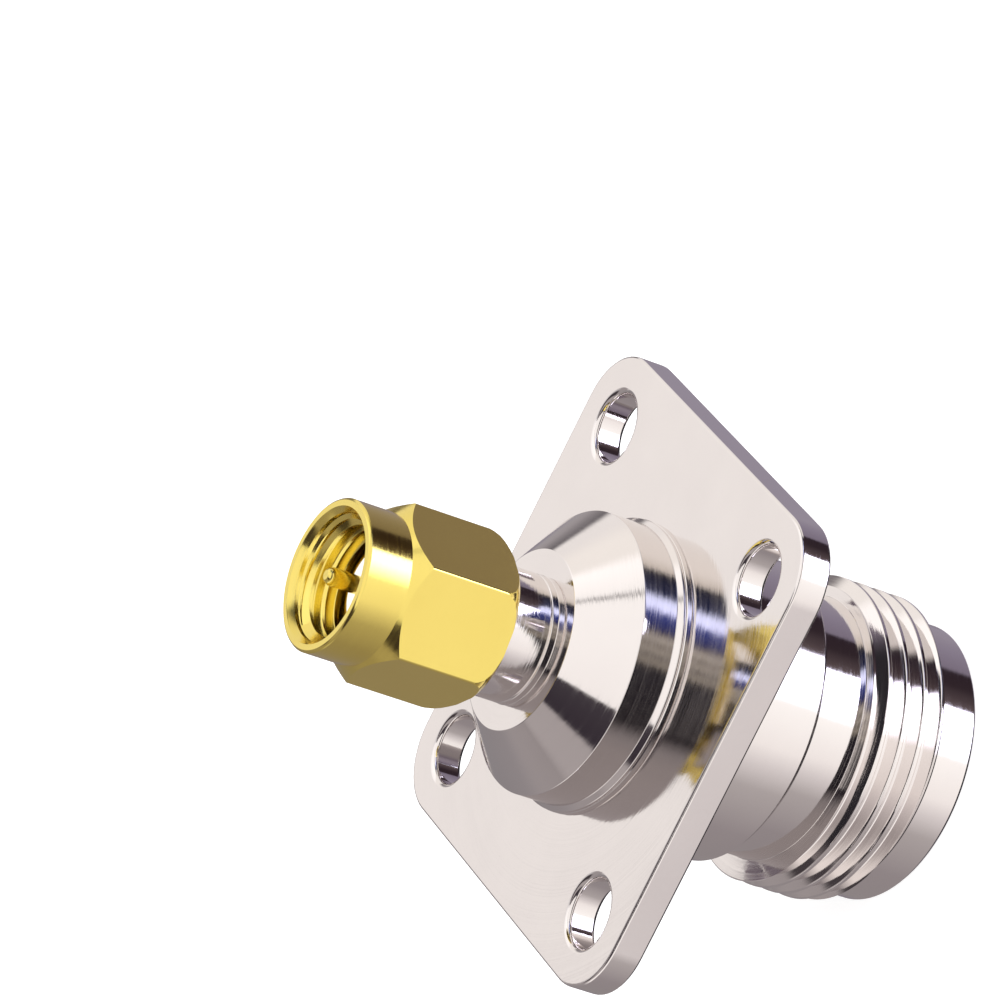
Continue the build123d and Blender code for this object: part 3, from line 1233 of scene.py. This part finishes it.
MIDDLE_BELT = Belt((
    (-180, (0.99, 0.95, 0.93)), (-174, (0.97, 0.93, 0.91)), (-168, (0.38, 0.345, 0.35)),
    (-60, (0.34, 0.305, 0.305)), (-46, (0.28, 0.255, 0.26)), (-33, (0.015, 0.012, 0.016)),
    (13, (0.015, 0.013, 0.02)), (18, (0.42, 0.38, 0.32)), (22, (0.1, 0.09, 0.09)),
    (27, (0.5, 0.46, 0.4)), (31, (0.16, 0.14, 0.13)), (36, (0.6, 0.56, 0.5)),
    (41, (0.14, 0.12, 0.13)), (44, (0.03, 0.035, 0.14)), (57, (0.05, 0.07, 0.33)),
    (60, (1.25, 1.35, 2.0)), (69, (1.1, 1.2, 1.7)), (73, (0.02, 0.025, 0.08)),
    (94, (0.015, 0.015, 0.03)), (97, (0.84, 0.78, 0.71)), (110, (1.05, 1.0, 0.95)),
    (160, (1.02, 0.98, 0.95)), (180, (0.99, 0.95, 0.93)),
), lean=90.0, upright_at=0.485)
HIGH_BELT = Belt((
    (-180, (0.9, 0.88, 0.88)), (-154, (0.42, 0.39, 0.4)), (-146, (0.06, 0.05, 0.055)),
    (-126, (0.06, 0.05, 0.055)), (-118, (0.45, 0.41, 0.41)), (-86, (0.44, 0.4, 0.4)),
    (-82, (0.04, 0.031, 0.041)), (-43, (0.058, 0.048, 0.058)), (-41, (1.1, 1.06, 1.04)),
    (79, (1.15, 1.12, 1.1)), (80.7, (0.36, 0.34, 0.34)), (82, (0.4, 0.38, 0.38)),
    (83.5, (1.15, 1.12, 1.1)), (105, (1.32, 1.28, 1.26)), (180, (1.1, 1.07, 1.06)),
), lean=25.0, upright_at=0.8965)


@dataclass
class Studio:
    """The pale floor, the soft light all round, and the camera at the photograph's angle."""

    floor_size: float = 6.0
    aim: tuple[float, float, float] = (-5.807, -1.600, 8.267)
    distance: float = 395.993
    azimuth: float = -164.599
    elevation: float = 28.994
    roll: float = -71.158
    frame_px: int = 1000
    focal_px: float = 8272.4
    sensor: float = 36.0
    floor_grey: float = 0.4
    floor_glow: float = 0.8
    lamp_size: float = 0.9
    lamp_power: float = 9.0
    lamp_ahead: float = 0.15
    lamp_height: float = 0.8
    middle_from: Point = (-0.12, 0.12)
    high_from: Point = (0.53, 0.62)
    level_from: Point = (0.42, 0.2)
    pit_from: Point = (-0.7, -0.85)
    pit: Colour = (0.03, 0.028, 0.035)

    def heading(self) -> tuple[Vector, Vector]:
        """Works out the level directions that the light is set out by.

        Returns:
            The one towards the viewer, and the one a quarter turn on from it.
        """
        a = radians(self.azimuth)
        towards = Vector((sin(a), -cos(a), 0))
        return towards, Vector((-towards.y, towards.x, 0))

    def camera(self) -> None:
        """Sets the camera at the photograph's distance, angle and roll."""
        a, e, tilt = radians(self.azimuth), radians(self.elevation), radians(self.roll)
        back = Vector((sin(a) * cos(e), -cos(a) * cos(e), sin(e)))
        level = (-back).cross(Vector((0, 0, 1))).normalized()
        upright = level.cross(-back)
        right = level * cos(tilt) + upright * sin(tilt)
        up = back.cross(right)
        data = bpy.data.cameras.new("camera")
        data.sensor_width = self.sensor
        data.lens = self.focal_px * self.sensor / self.frame_px
        data.clip_start, data.clip_end = 0.01, 20
        camera = bpy.data.objects.new("camera", data)
        place = (Vector(self.aim) + back * self.distance) * MM
        turned = Matrix((right, up, back)).transposed().to_4x4()
        camera.matrix_world = Matrix.Translation(place) @ turned
        bpy.context.scene.collection.objects.link(camera)
        bpy.context.scene.camera = camera

    def floor(self) -> None:
        """Lays the pale floor under the nose."""
        Bench.clear_selection()
        bpy.ops.mesh.primitive_plane_add(size=self.floor_size, location=(0, 0, cad_box[0].z))
        ground = bpy.context.object
        ground.name = "floor"
        material, _, shader = start_material("pale floor")
        shader.inputs["Base Color"].default_value = (*[self.floor_grey] * 3, 1)
        shader.inputs["Roughness"].default_value = 0.9
        shader.inputs["Specular IOR Level"].default_value = 0.0
        shader.inputs["Emission Color"].default_value = (1, 1, 1, 1)
        shader.inputs["Emission Strength"].default_value = self.floor_glow
        ground.data.materials.append(material)
        ground.visible_glossy = False

    def surround(self) -> None:
        """Makes the light all round: white walls with a few dark and tinted strips between them."""
        world = bpy.data.worlds.new("studio")
        bpy.context.scene.world = world
        world.use_nodes = True
        n = Nodes(world.node_tree)
        place = n.add("ShaderNodeTexCoord")
        parts = []
        towards, aside = self.heading()
        for axis in (towards, aside, Vector((0, 0, 1))):
            dot = n.add("ShaderNodeVectorMath", operation="DOT_PRODUCT")
            n.link(place.outputs["Generated"], dot.inputs[0])
            dot.inputs[1].default_value = axis
            parts.append(dot.outputs["Value"])
        ahead, side, height = parts
        bearing = n.math("MULTIPLY", n.math("ARCTAN2", side, ahead), 180 / pi)
        colour = LOW_BELT.paint(n, bearing, height)
        for belt, limits in ((MIDDLE_BELT, self.middle_from), (HIGH_BELT, self.high_from)):
            colour = n.blend(n.fade(height, *limits), colour, belt.paint(n, bearing, height))
        near_level = n.fade(n.math("ABSOLUTE", height), *self.level_from)
        colour = n.blend(near_level, colour, LEVEL_BELT.paint(n, bearing, height))
        colour = n.blend(n.fade(height, *self.pit_from), colour, self.pit)
        glow = n.add("ShaderNodeBackground")
        n.link(colour, glow.inputs["Color"])
        glow.inputs["Strength"].default_value = 1.0
        result = n.add("ShaderNodeOutputWorld")
        n.link(glow.outputs[0], result.inputs[0])

    def lamps(self) -> None:
        """Hangs one broad soft lamp above, which brightens the floor and the polymer."""
        data = bpy.data.lights.new("soft lamp", "AREA")
        data.shape = "DISK"
        data.size = self.lamp_size
        data.energy = self.lamp_power
        lamp = bpy.data.objects.new("soft lamp", data)
        towards, _ = self.heading()
        lamp.location = towards * self.lamp_ahead + Vector((0, 0, self.lamp_height))
        lamp.rotation_mode = "QUATERNION"
        lamp.rotation_quaternion = lamp.location.to_track_quat("Z", "Y")
        lamp.visible_glossy = False
        bpy.context.scene.collection.objects.link(lamp)

    def build(self) -> None:
        """Sets up the floor, the light and the camera, with plain colours on screen."""
        self.floor()
        self.surround()
        self.lamps()
        self.camera()
        bpy.context.scene.view_settings.view_transform = "Standard"


def dress_hidden(name: str, finish: Material) -> None:
    """Gives a hidden solid its finish.

    Args:
        name: the solid's node.
        finish: its material.
    """
    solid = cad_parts[name]
    solid.data.materials.clear()
    solid.data.materials.append(finish)
    log.info("%s: kept, finish %s", name, finish.name)


def main() -> None:
    """Builds the pieces in order, then the studio."""
    effects = Effects()
    nickel, gold = NICKEL.make(effects), GOLD.make(effects)
    white = WHITE_POLYMER.make(effects)
    FlangeShell().build(nickel)
    RearShell().build(nickel)
    CouplingNut().build(gold)
    CentreLine().build(gold, CONTACT_GOLD.make(effects), white)
    dress_hidden("snap_ring", BRONZE.make(effects))
    dress_hidden("sma_gasket", RED_RUBBER.make(effects))
    Studio().build()


if __name__ == "__main__":
    main()
